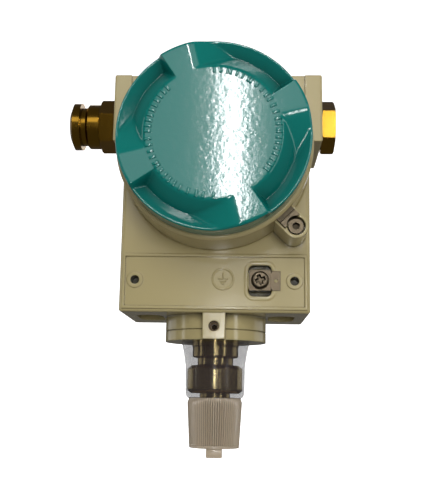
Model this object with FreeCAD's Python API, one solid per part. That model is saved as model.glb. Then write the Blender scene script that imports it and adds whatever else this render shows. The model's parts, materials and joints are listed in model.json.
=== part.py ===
import FreeCAD, Part
import math
import os

# Two-chamber pressure transmitter. Millimetres, Z up along the process axis, origin at the lower
# end of the full process thread. The terminal side faces -Y, the electronics side faces +Y.

# Fits and gaps
fixed_gap = 0.05
running_gap = 0.08
moving_gap = 0.3

# Process connection with its pipe thread, sealing spigot and hexagon
thread_d = 20.955
thread_length = 18.0
thread_chamfer = 1.2
spigot_d = 6.0
spigot_length = 3.0
port_d = 3.5
relief_d = 15.0
relief_length = 2.4
hexagon_flats = 27.0
hexagon_corner_d = 28.6
hexagon_length = 13.5
hexagon_chamfer = 1.2
waist_d = 17.7
waist_length = 4.0
lower_collar_d = 22.6
lower_collar_length = 5.2
upper_collar_d = 23.4
upper_collar_length = 2.2
collar_chamfer = 0.5
pressure_chamber_d = 16.0
pressure_chamber_depth = 1.2

# Measuring cell inside the neck
cell_d = 36.0
cell_height = 27.0
cell_floor = 9.0
cell_wall = 4.0
oil_bore_d = 3.0
diaphragm_d = 21.0
diaphragm_thickness = 0.4
header_thickness = 5.0
header_pin_d = 1.2
header_pin_length = 7.0
header_pin_circle_d = 14.0
header_pin_count = 6
cell_seal_section = 2.4
cell_seal_rise = 16.0
lock_groove_width = 5.0
lock_groove_depth = 1.4

# Housing casting
neck_d = 50.0
neck_height = 12.2
neck_seam_rise = 4.7
neck_seam_width = 0.5
neck_seam_depth = 0.4
lock_boss_width = 10.7
lock_boss_reach = 29.0
lock_screw_d = 5.0
lock_screw_rise = 5.9
lock_screw_length = 5.5
lock_screw_tip_d = 3.6
box_depth = 60.0
box_edge = 2.0
box_underside_edge = 1.2
saddle_drop = 9.5
axis_rise = 74.5
chamber_d = 64.0
neck_wall = 4.5
collar_step = 1.6
collar_edge = 1.0
boss_reach = 7.0
boss_plate = 8.5
boss_height = 34.4
boss_depth = 48.0
boss_edge = 1.0
top_stand = 0.4
top_front_depth = 23.0
top_rear_depth = 27.5
entry_drop = 19.4
thread_neck_length = 8.8
partition_front = 12.0
partition_thickness = 5.0
cable_hole_d = 20.0
wire_hole_d = 8.0
wire_hole_shift = 8.0
side_pocket_width = 13.0
side_pocket_length = 28.0
side_pocket_depth = 24.0
side_pocket_inset = 12.5

# Front panel of the lower box
frame_inset = 1.4
frame_width = 1.3
frame_height = 0.6
frame_top_drop = 2.0
panel_hole_d = 4.2
panel_hole_depth = 9.0
panel_hole_inset = 7.4
panel_hole_rise = 15.0
panel_pad_d = 7.6
panel_pad_height = 0.4

# Screw covers and their gaskets
depth_over_covers = 143.0
cover_wall = 6.6
cover_height = 14.5
cover_edge = 1.2
cover_ceiling_gap = 0.5
gasket_thickness = 1.5
gasket_width = 4.7
lug_count = 4
lug_first_angle = 24.0
lug_angle = 20.0
pocket_reach = 12.9
pocket_valley_inset = 5.9
pocket_depth = 6.0
pocket_lip_depth = 2.4
pocket_ramp_angle = 19.5

# Cover lock clip and socket screw beside each cover
lock_reach = 9.3
lock_angle = 44.6
lock_ear_d = 11.2
lock_ear_setback = 3.5
cap_screw_d = 4.0
cap_screw_head_d = 7.0
cap_screw_head_height = 4.0
cap_screw_socket = 3.0
cap_screw_socket_depth = 2.2
cap_screw_length = 10.0
counterbore_d = 8.5
counterbore_depth = 5.0
clip_width = 9.0
clip_length = 6.4
clip_depth = 7.0
clip_step = 1.4
clip_groove = 0.6

# Cable gland and blanking plug
entry_thread_length = 14.0
entry_gasket_d = 23.0
entry_gasket_thickness = 1.0
entry_hexagon_flats = 24.0
gland_hexagon_length = 8.7
gland_hexagon_angle = 19.0
gland_stub_d = 17.0
gland_bore_d = 13.0
gland_nut_d = 23.3
gland_nut_length = 7.2
gland_nut_neck_d = 20.0
gland_nut_neck_length = 2.8
gland_nut_end_d = 24.6
gland_nut_end_length = 5.4
gland_nut_end_chamfer = 1.6
gland_nut_end_face_d = 17.0
gland_nut_edge = 1.4
gland_mouth_d = 12.0
gland_stub_setback = 3.0
cable_d = 9.0
plug_hexagon_length = 7.0
plug_hexagon_angle = 9.0
entry_hexagon_chamfer = 1.0

# Outer earth terminal
earth_x = 21.4
earth_rise = 15.0
earth_slot_width = 11.0
earth_slot_height = 3.6
earth_slot_depth = 5.0
earth_slot_corner = 2.5
earth_pad_height = 7.6
earth_plate_width = 10.0
earth_plate_height = 9.8
earth_plate_thickness = 1.2
earth_lip_depth = 2.6
earth_tab_thickness = 0.8
earth_tab_height = 9.2
earth_tab_reach = 9.6
earth_tab_hole_d = 1.8
earth_screw_d = 4.0
earth_head_d = 8.4
earth_head_height = 2.6
earth_head_crown = 0.9
earth_recess_d = 4.2
earth_recess_depth = 1.6
earth_screw_length = 12.0

# Terminal block and inner earth screw
block_clearance = 1.5
block_width = 48.0
block_depth = 18.0
block_top_drop = 2.0
block_rib_width = 2.0
block_rib_height = 6.0
terminal_count = 3
terminal_spacing = 13.0
terminal_drop = 12.0
terminal_screw_d = 4.0
terminal_head_d = 8.0
terminal_head_height = 2.6
terminal_screw_length = 8.0
block_screw_d = 3.0
block_screw_head_d = 5.6
block_screw_head_height = 2.0
block_screw_x = 14.0
block_screw_edge = 11.0
inner_earth_inset = 15.0
inner_earth_rise = 5.0
slot_width = 1.0
slot_depth = 1.0

# Electronics module and feed-through
module_clearance = 2.0
module_depth = 27.0
module_rim = 3.0
module_recess = 4.0
module_screw_gap = 0.5
module_screw_d = 4.0
module_screw_head_d = 7.0
module_screw_head_height = 2.6
plug_strip_width = 22.0
plug_strip_height = 6.0
plug_strip_depth = 7.0
feedthrough_d = 12.0
feedthrough_drop = 10.0

# Keys on the top with their hinged flap
key_count = 3
key_spacing = 14.0
key_d = 8.0
key_flange_d = 10.0
key_flange_height = 1.5
key_travel = 0.8
key_centre = 14.0
key_well_width = 46.0
key_well_length = 17.0
key_well_spare = 1.2
key_well_corner = 3.0
key_guide_thickness = 1.5
key_guide_setback = 1.0
flap_width = 58.0
flap_length = 23.5
flap_thickness = 2.5
flap_corner = 3.0
flap_hollow = 0.8
hinge_offset = 25.0
hinge_barrel_d = 4.4
hinge_pin_d = 2.2
hinge_lug_width = 6.0
hinge_lug_x = 17.0

# Protective cap over the thread
cap_mouth_d = 27.4
cap_end_d = 24.6
cap_wall = 1.0
cap_floor = 1.4
cap_rim_drop = 0.4
cap_rib_count = 36
cap_rib_height = 0.35
cap_rib_width = 0.9
cap_rib_margin = 1.6
cap_tab_width = 7.9
cap_tab_length = 5.0
cap_tab_thickness = 1.6

V = FreeCAD.Vector
axis_x = V(1, 0, 0)
axis_y = V(0, 1, 0)
axis_z = V(0, 0, 1)
origin = V(0, 0, 0)
full_angle = 360.0
half_angle = 180.0
parallel_angle = 2.5
hexagon_side_count = 6

# Levels and places that follow from the driving dimensions
thread_r = thread_d / 2
thread_end_z = -thread_chamfer
spigot_end_z = thread_end_z - spigot_length
relief_z = thread_length
hexagon_z = relief_z + relief_length
waist_z = hexagon_z + hexagon_length
lower_collar_z = waist_z + waist_length
upper_collar_z = lower_collar_z + lower_collar_length
neck_z = upper_collar_z + upper_collar_length
box_z = neck_z + neck_height
thread_neck_d = chamber_d + 2 * neck_wall
cover_bore_d = thread_neck_d + 2 * moving_gap
cover_d = cover_bore_d + 2 * cover_wall
gasket_d = cover_bore_d + 2 * gasket_width
barrel_d = cover_d + 2 * collar_step
box_width = barrel_d
axis_level = box_z + axis_rise
saddle_z = axis_level - saddle_drop
top_z = axis_level + barrel_d / 2 + top_stand
entry_z = top_z - entry_drop
lock_screw_z = neck_z + lock_screw_rise
panel_y = -box_depth / 2
cover_face = depth_over_covers / 2
cover_back = cover_face - cover_height
collar_face = cover_back - gasket_thickness
neck_end = collar_face + thread_neck_length
cover_ceiling = neck_end + cover_ceiling_gap
partition_back = partition_front + partition_thickness
boss_end = barrel_d / 2 + boss_reach
cell_bore_d = cell_d + 2 * running_gap
cell_top = neck_z + cell_height
lock_circle_r = cover_d / 2 + lock_reach
lock_ear_x = lock_circle_r * math.sin(math.radians(lock_angle))
lock_ear_drop = lock_circle_r * math.cos(math.radians(lock_angle))
lock_ear_z = axis_level - lock_ear_drop
lock_ear_face = collar_face - lock_ear_setback
earth_z = box_z + earth_rise
earth_tab_y = panel_y - earth_tab_thickness
earth_plate_y = earth_tab_y - earth_plate_thickness
block_face = partition_front - block_depth
block_z = axis_level - terminal_drop
block_screw_drop = chamber_d / 2 - block_screw_edge
inner_earth_x = chamber_d / 2 - inner_earth_inset
key_guide_top = top_z - key_guide_setback
key_guide_z = key_guide_top - key_guide_thickness
key_flange_z = key_guide_z - key_flange_height
key_floor_z = key_flange_z - key_travel - key_well_spare
hinge_z = top_z + hinge_barrel_d / 2 + moving_gap
module_face = partition_back + module_depth
module_r = chamber_d / 2 - module_clearance
module_screw_x = module_r - module_rim - module_screw_head_d / 2 - module_screw_gap


def block(low, high):
    return Part.makeBox(high.x - low.x, high.y - low.y, high.z - low.z, low)


def rod(diameter, start, end):
    along = end - start
    return Part.makeCylinder(diameter / 2, along.Length, start, along)


def edges_along(shape, direction):
    found = []
    nearly_parallel = math.cos(math.radians(parallel_angle))
    for edge in shape.Edges:
        if not isinstance(edge.Curve, Part.Line):
            continue
        if abs(edge.tangentAt(edge.FirstParameter).dot(direction)) > nearly_parallel:
            found.append(edge)
    return found


def rounded_block(low, high, direction, radius):
    solid = block(low, high)
    return solid.makeFillet(radius, edges_along(solid, direction))


def sheet(corners):
    """Flat face through a ring of corners."""
    return Part.Face(Part.makePolygon(corners + corners[:1]))


def turned(profile, base, along, radial):
    """Solid of revolution from (radius, distance along the axis) pairs."""
    face = sheet([base + radial * r + along * a for r, a in profile])
    solid = face.revolve(base, along, full_angle)
    if solid.Volume < 0:
        solid.reverse()
    return solid


def sharp_corners(flats):
    """Width of a hexagon across its sharp corners."""
    return flats / math.cos(math.radians(half_angle / hexagon_side_count))


def hexagon_bar(flats, corners, start, end, side, chamfer):
    """Hexagon whose first flat faces the side direction, turned to a width across its corners."""
    along = end - start
    length = along.Length
    along.normalize()
    across = along.cross(side)
    half_step = half_angle / hexagon_side_count
    sharp_r = sharp_corners(flats) / 2
    points = []
    for step in range(hexagon_side_count):
        angle = math.radians(half_step + step * full_angle / hexagon_side_count)
        points.append(start + side * (sharp_r * math.cos(angle)) + across * (sharp_r * math.sin(angle)))
    prism = sheet(points).extrude(end - start)
    rise = chamfer * math.tan(math.radians(half_step))
    corner_r = corners / 2
    profile = [(0, 0), (corner_r - chamfer, 0), (corner_r, rise), (corner_r, length - rise),
               (corner_r - chamfer, length), (0, length)]
    return prism.common(turned(profile, start, along, side))


def to_rear(solid):
    """The same piece on the electronics side, half a turn about the process axis."""
    turned_copy = solid.copy()
    turned_copy.rotate(origin, axis_z, half_angle)
    return turned_copy


def joined(solids):
    first = solids[0]
    return first.fuse(solids[1:]).removeSplitter()


def slotted_screw(head_d, head_height, shank_d, shank_length, seat, outward):
    """Cheese-head screw along Y, seated at a point, with its driver slot along X."""
    head = rod(head_d, seat, seat + outward * head_height)
    shank = rod(shank_d, seat, seat - outward * shank_length)
    face_y = seat.y + outward.y * head_height
    floor_y = face_y - outward.y * slot_depth
    slot = block(V(seat.x - head_d, min(face_y, floor_y), seat.z - slot_width / 2),
                 V(seat.x + head_d, max(face_y, floor_y), seat.z + slot_width / 2))
    return joined([head, shank]).cut(slot)


# Process connection and measuring cell

def process_connection():
    profile = [
        (0, spigot_end_z),
        (spigot_d / 2, spigot_end_z),
        (spigot_d / 2, thread_end_z),
        (thread_r - thread_chamfer, thread_end_z),
        (thread_r, 0),
        (thread_r, relief_z),
        (relief_d / 2, relief_z),
        (relief_d / 2, hexagon_z),
        (waist_d / 2, hexagon_z),
        (waist_d / 2, lower_collar_z),
        (lower_collar_d / 2 - collar_chamfer, lower_collar_z),
        (lower_collar_d / 2, lower_collar_z + collar_chamfer),
        (lower_collar_d / 2, upper_collar_z),
        (upper_collar_d / 2, upper_collar_z),
        (upper_collar_d / 2, neck_z),
        (0, neck_z),
    ]
    stub = turned(profile, origin, axis_z, axis_x)
    hexagon = hexagon_bar(hexagon_flats, hexagon_corner_d, axis_z * hexagon_z, axis_z * waist_z,
                          axis_x, hexagon_chamfer)
    port = rod(port_d, axis_z * spigot_end_z, axis_z * neck_z)
    chamber = rod(pressure_chamber_d, axis_z * (neck_z - pressure_chamber_depth), axis_z * neck_z)
    return joined([stub, hexagon]).cut([port, chamber])


def isolating_diaphragm():
    return rod(diaphragm_d, axis_z * neck_z, axis_z * (neck_z + diaphragm_thickness))


def measuring_cell():
    floor_z = neck_z + cell_floor
    groove_low = lock_screw_z - lock_groove_width / 2
    groove_high = lock_screw_z + lock_groove_width / 2
    groove_r = cell_d / 2 - lock_groove_depth
    seal_low = neck_z + cell_seal_rise
    seal_high = seal_low + cell_seal_section + fixed_gap
    seal_r = cell_d / 2 - cell_seal_section
    inner_r = cell_d / 2 - cell_wall
    profile = [
        (0, neck_z),
        (cell_d / 2, neck_z),
        (cell_d / 2, groove_low),
        (groove_r, groove_low),
        (groove_r, groove_high),
        (cell_d / 2, groove_high),
        (cell_d / 2, seal_low),
        (seal_r, seal_low),
        (seal_r, seal_high),
        (cell_d / 2, seal_high),
        (cell_d / 2, cell_top),
        (inner_r, cell_top),
        (inner_r, floor_z),
        (0, floor_z),
    ]
    cup = turned(profile, origin, axis_z, axis_x)
    oil_bore = rod(oil_bore_d, axis_z * neck_z, axis_z * floor_z)
    seat = rod(diaphragm_d + 2 * fixed_gap, axis_z * neck_z, axis_z * (neck_z + diaphragm_thickness))
    return cup.cut([oil_bore, seat])


def sensor_header():
    floor_z = neck_z + cell_floor
    top = floor_z + header_thickness
    disc = rod(cell_d - 2 * cell_wall - 2 * fixed_gap, axis_z * floor_z, axis_z * top)
    pins = []
    for index in range(header_pin_count):
        angle = math.radians(index * full_angle / header_pin_count)
        foot = V(math.cos(angle), math.sin(angle), 0) * (header_pin_circle_d / 2) + axis_z * top
        pins.append(rod(header_pin_d, foot, foot + axis_z * header_pin_length))
    return joined([disc] + pins)


def cell_seal():
    low = neck_z + cell_seal_rise
    inner_r = cell_d / 2 - cell_seal_section + fixed_gap
    outer_r = cell_d / 2 - fixed_gap
    high = low + cell_seal_section
    profile = [(inner_r, low), (outer_r, low), (outer_r, high), (inner_r, high)]
    return turned(profile, origin, axis_z, axis_x)


def locking_screw():
    groove_r = cell_d / 2 - lock_groove_depth
    tip_y = -(groove_r + moving_gap)
    shank_y = -(cell_bore_d / 2 + moving_gap)
    tip = rod(lock_screw_tip_d, V(0, tip_y, lock_screw_z), V(0, shank_y, lock_screw_z))
    outer_y = shank_y - (lock_screw_length - (tip_y - shank_y))
    shank = rod(lock_screw_d - 2 * fixed_gap, V(0, shank_y, lock_screw_z), V(0, outer_y, lock_screw_z))
    key_flats = lock_screw_d / 2
    socket = hexagon_bar(key_flats, sharp_corners(key_flats), V(0, outer_y, lock_screw_z),
                         V(0, outer_y + key_flats, lock_screw_z), axis_x, fixed_gap)
    return joined([shank, tip]).cut(socket)


# Housing casting

def lock_direction():
    """Direction from the lock screw to the cover's axis."""
    inward = V(-lock_ear_x, 0, lock_ear_drop)
    inward.normalize()
    return inward


def lock_ear():
    """Ear beside the cover that carries the lock clip and its screw, on the terminal side."""
    centre = V(lock_ear_x, 0, lock_ear_z)
    pillar = rod(lock_ear_d, centre, centre - axis_y * lock_ear_face)
    inward = lock_direction()
    side = V(inward.z, 0, -inward.x) * (lock_ear_d / 2)
    reach = inward * (lock_circle_r - chamber_d / 2)
    web = sheet([centre + side, centre - side, centre - side + reach, centre + side + reach])
    return joined([pillar, web.extrude(axis_y * -lock_ear_face)])


def clip_block(gap):
    """Block between the cover rim and the lock screw, grown by a gap for its slot."""
    inward = lock_direction()
    side = V(inward.z, 0, -inward.x) * (clip_width / 2 + gap)
    rim = V(0, 0, axis_level) - inward * (cover_d / 2 + moving_gap - gap)
    root = V(0, 0, axis_level) - inward * (cover_d / 2 + moving_gap + clip_length + gap)
    floor = axis_y * (lock_ear_face - clip_depth - gap)
    face = sheet([corner - floor for corner in (rim + side, rim - side, root - side, root + side)])
    return face.extrude(axis_y * -(clip_depth + clip_step + gap))


def lock_clip():
    inward = lock_direction()
    solid = clip_block(0)
    screw = V(lock_ear_x, 0, lock_ear_z)
    notch = rod(counterbore_d, screw, screw - axis_y * cover_face)
    outer_y = lock_ear_face + clip_step
    side = V(inward.z, 0, -inward.x) * clip_width
    middle = V(0, -outer_y, axis_level) - inward * (cover_d / 2 + moving_gap + clip_length / 2)
    half = inward * (clip_groove / 2)
    face = sheet([middle + side - half, middle - side - half, middle - side + half, middle + side + half])
    groove = face.extrude(axis_y * clip_groove)
    return solid.cut([notch, groove])


def lock_screw():
    screw = V(lock_ear_x, 0, lock_ear_z)
    seat = screw - axis_y * (lock_ear_face - counterbore_depth)
    head = rod(cap_screw_head_d, seat, seat - axis_y * cap_screw_head_height)
    shank = rod(cap_screw_d - 2 * fixed_gap, seat, seat + axis_y * cap_screw_length)
    head_face = seat - axis_y * cap_screw_head_height
    socket = hexagon_bar(cap_screw_socket, sharp_corners(cap_screw_socket), head_face,
                         head_face + axis_y * cap_screw_socket_depth, axis_x, fixed_gap)
    return joined([head, shank]).cut(socket)


def lock_cuts():
    screw = V(lock_ear_x, 0, lock_ear_z)
    seat = screw - axis_y * (lock_ear_face - counterbore_depth)
    counterbore = rod(counterbore_d, seat, screw - axis_y * cover_face)
    tapped = rod(cap_screw_d, seat, seat + axis_y * (cap_screw_length + moving_gap))
    return [counterbore, tapped, clip_block(fixed_gap)]


def panel_frame():
    """Raised frame line round the front of the lower box."""
    half = box_width / 2 - frame_inset
    low_z = box_z + frame_inset
    high_z = axis_level - barrel_d / 2 - frame_top_drop
    outer = block(V(-half, panel_y - frame_height, low_z), V(half, panel_y, high_z))
    inner = block(V(-half + frame_width, panel_y - frame_height, low_z + frame_width),
                  V(half - frame_width, panel_y, high_z - frame_width))
    return outer.cut(inner)


def panel_points():
    level = box_z + panel_hole_rise
    return [V(side * (box_width / 2 - panel_hole_inset), panel_y, level) for side in (-1, 1)]


def earth_slots():
    """Rounded recess that leaves a slot above and below the earth pad."""
    half = earth_pad_height / 2 + earth_slot_height
    low = V(earth_x - earth_slot_width / 2, panel_y - frame_height, earth_z - half)
    high = V(earth_x + earth_slot_width / 2, panel_y + earth_slot_depth, earth_z + half)
    recess = rounded_block(low, high, axis_y, earth_slot_corner)
    pad = block(V(low.x, low.y, earth_z - earth_pad_height / 2),
                V(high.x, high.y, earth_z + earth_pad_height / 2))
    return recess.cut(pad)


def side_pocket(side):
    """Cored pocket in the underside beside the neck."""
    centre_x = side * (box_width / 2 - side_pocket_inset)
    low = V(centre_x - side_pocket_width / 2, -side_pocket_length / 2, box_z)
    high = V(centre_x + side_pocket_width / 2, side_pocket_length / 2, box_z + side_pocket_depth)
    return rounded_block(low, high, axis_z, side_pocket_width / 2 - fixed_gap)


def hinge_lugs():
    lugs = []
    for side in (-1, 1):
        x0 = side * hinge_lug_x - hinge_lug_width / 2
        low = V(x0, hinge_offset - hinge_barrel_d / 2, top_z)
        high = V(x0 + hinge_lug_width, hinge_offset + hinge_barrel_d / 2, hinge_z)
        start = V(x0, hinge_offset, hinge_z)
        lugs.append(block(low, high))
        lugs.append(rod(hinge_barrel_d, start, start + axis_x * hinge_lug_width))
    return lugs


def box_body():
    """Lower box with rounded corners, up to the level of the barrel's axis."""
    box_solid = rounded_block(V(-box_width / 2, panel_y, box_z), V(box_width / 2, -panel_y, axis_level),
                              axis_z, box_edge)
    underside = [edge for edge in box_solid.Edges if edge.BoundBox.ZMax < box_z + fixed_gap]
    return box_solid.makeFillet(box_underside_edge, underside)


def barrel_body():
    """Outside of the barrel without its threaded necks."""
    profile = [
        (0, -collar_face),
        (barrel_d / 2 - collar_edge, -collar_face),
        (barrel_d / 2, -collar_face + collar_edge),
        (barrel_d / 2, collar_face - collar_edge),
        (barrel_d / 2 - collar_edge, collar_face),
        (0, collar_face),
    ]
    return turned(profile, axis_z * axis_level, axis_y, axis_x)


def above_saddle(front_y, back_y):
    """Room above the saddle line between two planes across the barrel, larger than the casting."""
    return block(V(-boss_end, front_y, saddle_z), V(boss_end, back_y, top_z))


def barrel_side(front_y, back_y):
    """Length of the barrel between two planes, with its threaded neck and the cheeks of the box."""
    cheeks = box_body().common(above_saddle(front_y, back_y))
    low = V(-boss_end, front_y, axis_level - boss_end)
    high = V(boss_end, back_y, axis_level + boss_end)
    threaded = rod(thread_neck_d, V(0, -neck_end, axis_level), V(0, neck_end, axis_level))
    return joined([barrel_body().fuse(threaded).common(block(low, high)), cheeks])


def neck_seam():
    seam_z = neck_z + neck_seam_rise
    outer = rod(neck_d + neck_seam_depth, axis_z * seam_z, axis_z * (seam_z + neck_seam_width))
    inner = rod(neck_d - 2 * neck_seam_depth, axis_z * seam_z, axis_z * (seam_z + neck_seam_width))
    keep = block(V(-lock_boss_width / 2, -lock_boss_reach, neck_z), V(lock_boss_width / 2, 0, box_z))
    return outer.cut([inner, keep])


def module_screw_points():
    return [V(side * module_screw_x, partition_back, axis_level) for side in (-1, 1)]


def block_screw_points():
    return [V(side * block_screw_x, partition_front, axis_level - block_screw_drop) for side in (-1, 1)]


def terminal_points():
    first = -(terminal_count - 1) / 2 * terminal_spacing
    return [V(first + index * terminal_spacing, block_face, block_z) for index in range(terminal_count)]


def key_points():
    first = -(key_count - 1) / 2 * key_spacing
    return [V(first + index * key_spacing, key_centre, 0) for index in range(key_count)]


def inner_earth_point():
    return V(-inner_earth_x, partition_front, axis_level + inner_earth_rise)


def feedthrough_centre():
    return V(0, 0, axis_level - feedthrough_drop)


def key_well(gap, low_z, high_z):
    low = V(-key_well_width / 2 + gap, key_centre - key_well_length / 2 + gap, low_z)
    high = V(key_well_width / 2 - gap, key_centre + key_well_length / 2 - gap, high_z)
    return rounded_block(low, high, axis_z, key_well_corner - gap)


def wire_hole():
    """Slanted hole for the wires from the cell to the electronics chamber."""
    return rod(wire_hole_d, V(0, wire_hole_shift, cell_top), V(0, module_face, axis_level - wire_hole_shift))


def cable_hole():
    return rod(cable_hole_d, V(-boss_end, 0, entry_z), V(boss_end, 0, entry_z))


def housing():
    """Lower part of the casting: box, neck and lock ears under the barrel."""
    box_solid = box_body().cut(above_saddle(panel_y, -panel_y))
    neck = rod(neck_d, axis_z * neck_z, axis_z * (box_z + box_underside_edge))
    lock_boss = block(V(-lock_boss_width / 2, -lock_boss_reach, neck_z),
                      V(lock_boss_width / 2, 0, box_z + box_underside_edge))
    solids = [box_solid, neck, lock_boss, lock_ear(), to_rear(lock_ear())]
    solids += [panel_frame(), to_rear(panel_frame())]
    solids += [rod(panel_pad_d, p, p - axis_y * panel_pad_height) for p in panel_points()]
    cuts = [
        barrel_body(),
        rod(cell_bore_d, axis_z * neck_z, axis_z * (cell_top + cell_wall)),
        wire_hole(),
        rod(lock_screw_d, V(0, -lock_boss_reach, lock_screw_z), V(0, 0, lock_screw_z)),
        neck_seam(),
        side_pocket(-1),
        side_pocket(1),
        earth_slots(),
        rod(earth_screw_d, V(earth_x, panel_y - frame_height, earth_z),
            V(earth_x, panel_y + earth_screw_length, earth_z)),
    ]
    cuts += lock_cuts()
    cuts += [to_rear(cut) for cut in lock_cuts()]
    for point in panel_points():
        cuts.append(rod(panel_hole_d, point - axis_y * panel_pad_height, point + axis_y * panel_hole_depth))
    return joined(solids).cut(cuts)


def housing_terminal_side():
    """Front of the barrel: terminal chamber with the partition as its floor."""
    partition_hole = partition_thickness - moving_gap
    cuts = [
        rod(chamber_d, V(0, -neck_end, axis_level), V(0, partition_front, axis_level)),
        cable_hole(),
        rod(feedthrough_d, feedthrough_centre() + axis_y * partition_front,
            feedthrough_centre() + axis_y * partition_back),
        key_well(0, key_floor_z, top_z),
        clip_block(fixed_gap),
        rod(terminal_screw_d, inner_earth_point(), inner_earth_point() + axis_y * partition_hole),
    ]
    cuts += [rod(module_screw_d, p, p - axis_y * partition_hole) for p in module_screw_points()]
    cuts += [rod(block_screw_d, p, p + axis_y * partition_hole) for p in block_screw_points()]
    return barrel_side(-neck_end, partition_back).cut(cuts)


def housing_electronics_side():
    """Rear of the barrel: electronics chamber behind the partition."""
    cuts = [
        rod(chamber_d, V(0, partition_back, axis_level), V(0, neck_end, axis_level)),
        wire_hole(),
        key_well(0, key_floor_z, top_z),
        to_rear(clip_block(fixed_gap)),
    ]
    return barrel_side(partition_back, neck_end).cut(cuts)


def housing_crown():
    """Flat top of the casting with the two cable entry bosses, the key well and the hinge lugs."""
    solids = [block(V(-boss_end + boss_plate, -top_front_depth, axis_level),
                    V(boss_end - boss_plate, top_rear_depth, top_z))]
    for side in (-1, 1):
        near = side * (boss_end - boss_plate)
        far = side * boss_end
        low = V(min(near, far), -boss_depth / 2, top_z - boss_height)
        high = V(max(near, far), boss_depth / 2, top_z)
        plate = block(low, high)
        outer = [edge for edge in plate.Edges if abs(edge.CenterOfMass.x - far) < boss_edge]
        solids.append(plate.makeFillet(boss_edge, outer))
    solids += hinge_lugs()
    pin_reach = hinge_lug_x + hinge_lug_width
    cuts = [
        barrel_body(),
        cable_hole(),
        key_well(0, key_floor_z, top_z),
        rod(hinge_pin_d + 2 * fixed_gap, V(-pin_reach, hinge_offset, hinge_z),
            V(pin_reach, hinge_offset, hinge_z)),
    ]
    return joined(solids).cut(cuts)


# Covers

def cover_pocket():
    """One grip pocket: a V trough round the rim that ends in a flat ramp up to the next lug."""
    start = lug_first_angle + lug_angle / 2
    sweep = full_angle / lug_count - lug_angle
    rim_r = cover_d / 2
    inner_r = rim_r - pocket_reach
    valley_r = rim_r - pocket_valley_inset
    above = cover_edge
    inner_slope = (valley_r - inner_r) / pocket_depth
    outer_slope = (pocket_depth - pocket_lip_depth) / (rim_r - valley_r)
    beyond_r = rim_r + above
    profile = [
        (inner_r - inner_slope * above, -above),
        (valley_r, pocket_depth),
        (beyond_r, pocket_lip_depth - outer_slope * above),
        (beyond_r, -above),
    ]
    centre = V(0, -cover_face, axis_level)
    radial = V(math.cos(math.radians(start)), 0, math.sin(math.radians(start)))
    section = sheet([centre + radial * r + axis_y * a for r, a in profile])
    trough = section.revolve(centre, axis_y * -1, sweep)
    if trough.Volume < 0:
        trough.reverse()
    end = math.radians(start + sweep)
    lug_line = V(math.cos(end), 0, math.sin(end))
    away = V(math.sin(end), 0, -math.cos(end))
    fall = math.tan(math.radians(pocket_ramp_angle))
    top = centre - axis_y * above
    low = centre + away * beyond_r + axis_y * (fall * beyond_r)
    ramp = sheet([top, centre, low, top + away * beyond_r])
    ramp.translate(lug_line * -beyond_r)
    return trough.common(ramp.extrude(lug_line * (2 * beyond_r)))


def terminal_cover():
    rim_r = cover_d / 2
    profile = [
        (0, -cover_face),
        (rim_r, -cover_face),
        (rim_r, -cover_back),
        (cover_bore_d / 2, -cover_back),
        (cover_bore_d / 2, -cover_ceiling),
        (0, -cover_ceiling),
    ]
    disc = turned(profile, axis_z * axis_level, axis_y, axis_x)
    rim = [edge for edge in disc.Edges if edge.BoundBox.YMax < fixed_gap - cover_face]
    disc = disc.makeFillet(cover_edge, rim)
    pocket = cover_pocket()
    pockets = []
    for index in range(lug_count):
        copy = pocket.copy()
        copy.rotate(axis_z * axis_level, axis_y * -1, index * full_angle / lug_count)
        pockets.append(copy)
    return disc.cut(pockets)


def terminal_cover_gasket():
    profile = [(cover_bore_d / 2, -cover_back), (gasket_d / 2, -cover_back),
               (gasket_d / 2, -collar_face), (cover_bore_d / 2, -collar_face)]
    return turned(profile, axis_z * axis_level, axis_y, axis_x)


# Inside the terminal chamber

def terminal_block():
    bound = rod(chamber_d - 2 * block_clearance, V(0, block_face - block_rib_height, axis_level),
                V(0, partition_front, axis_level))
    top = axis_level - block_top_drop
    bottom = axis_level - chamber_d / 2
    half = block_width / 2
    base = block(V(-half, block_face, bottom), V(half, partition_front, top))
    ribs = []
    for index in range(terminal_count + 1):
        x = (index - terminal_count / 2) * terminal_spacing
        ribs.append(block(V(x - block_rib_width / 2, block_face - block_rib_height, bottom),
                          V(x + block_rib_width / 2, block_face, top)))
    solid = joined([base] + ribs).common(bound)
    cuts = []
    for point in terminal_points():
        cuts.append(rod(terminal_screw_d, point, point + axis_y * (terminal_screw_length + moving_gap)))
    for point in block_screw_points():
        cuts.append(rod(block_screw_d + 2 * fixed_gap, point, V(point.x, block_face, point.z)))
        cuts.append(rod(block_screw_head_d + 2 * moving_gap,
                        V(point.x, block_face - block_rib_height, point.z),
                        V(point.x, block_face + block_screw_head_height, point.z)))
    return solid.cut(cuts)


def terminal_clamp_screws():
    screws = []
    for point in terminal_points():
        screws.append(slotted_screw(terminal_head_d, terminal_head_height, terminal_screw_d - 2 * fixed_gap,
                                    terminal_screw_length, point, axis_y * -1))
    return Part.makeCompound(screws)


def terminal_block_screws():
    screws = []
    for point in block_screw_points():
        seat = V(point.x, block_face + block_screw_head_height, point.z)
        bite = block_depth - block_screw_head_height + partition_thickness - 2 * moving_gap
        screws.append(slotted_screw(block_screw_head_d, block_screw_head_height - slot_depth / 2,
                                    block_screw_d - 2 * fixed_gap, bite, seat, axis_y * -1))
    return Part.makeCompound(screws)


def inner_earth_screw():
    return slotted_screw(terminal_head_d, terminal_head_height, terminal_screw_d - 2 * fixed_gap,
                         partition_thickness - 2 * moving_gap, inner_earth_point(), axis_y * -1)


def feedthrough():
    centre = feedthrough_centre()
    return rod(feedthrough_d - 2 * fixed_gap, centre + axis_y * partition_front,
               centre + axis_y * partition_back)


# Inside the electronics chamber

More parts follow.
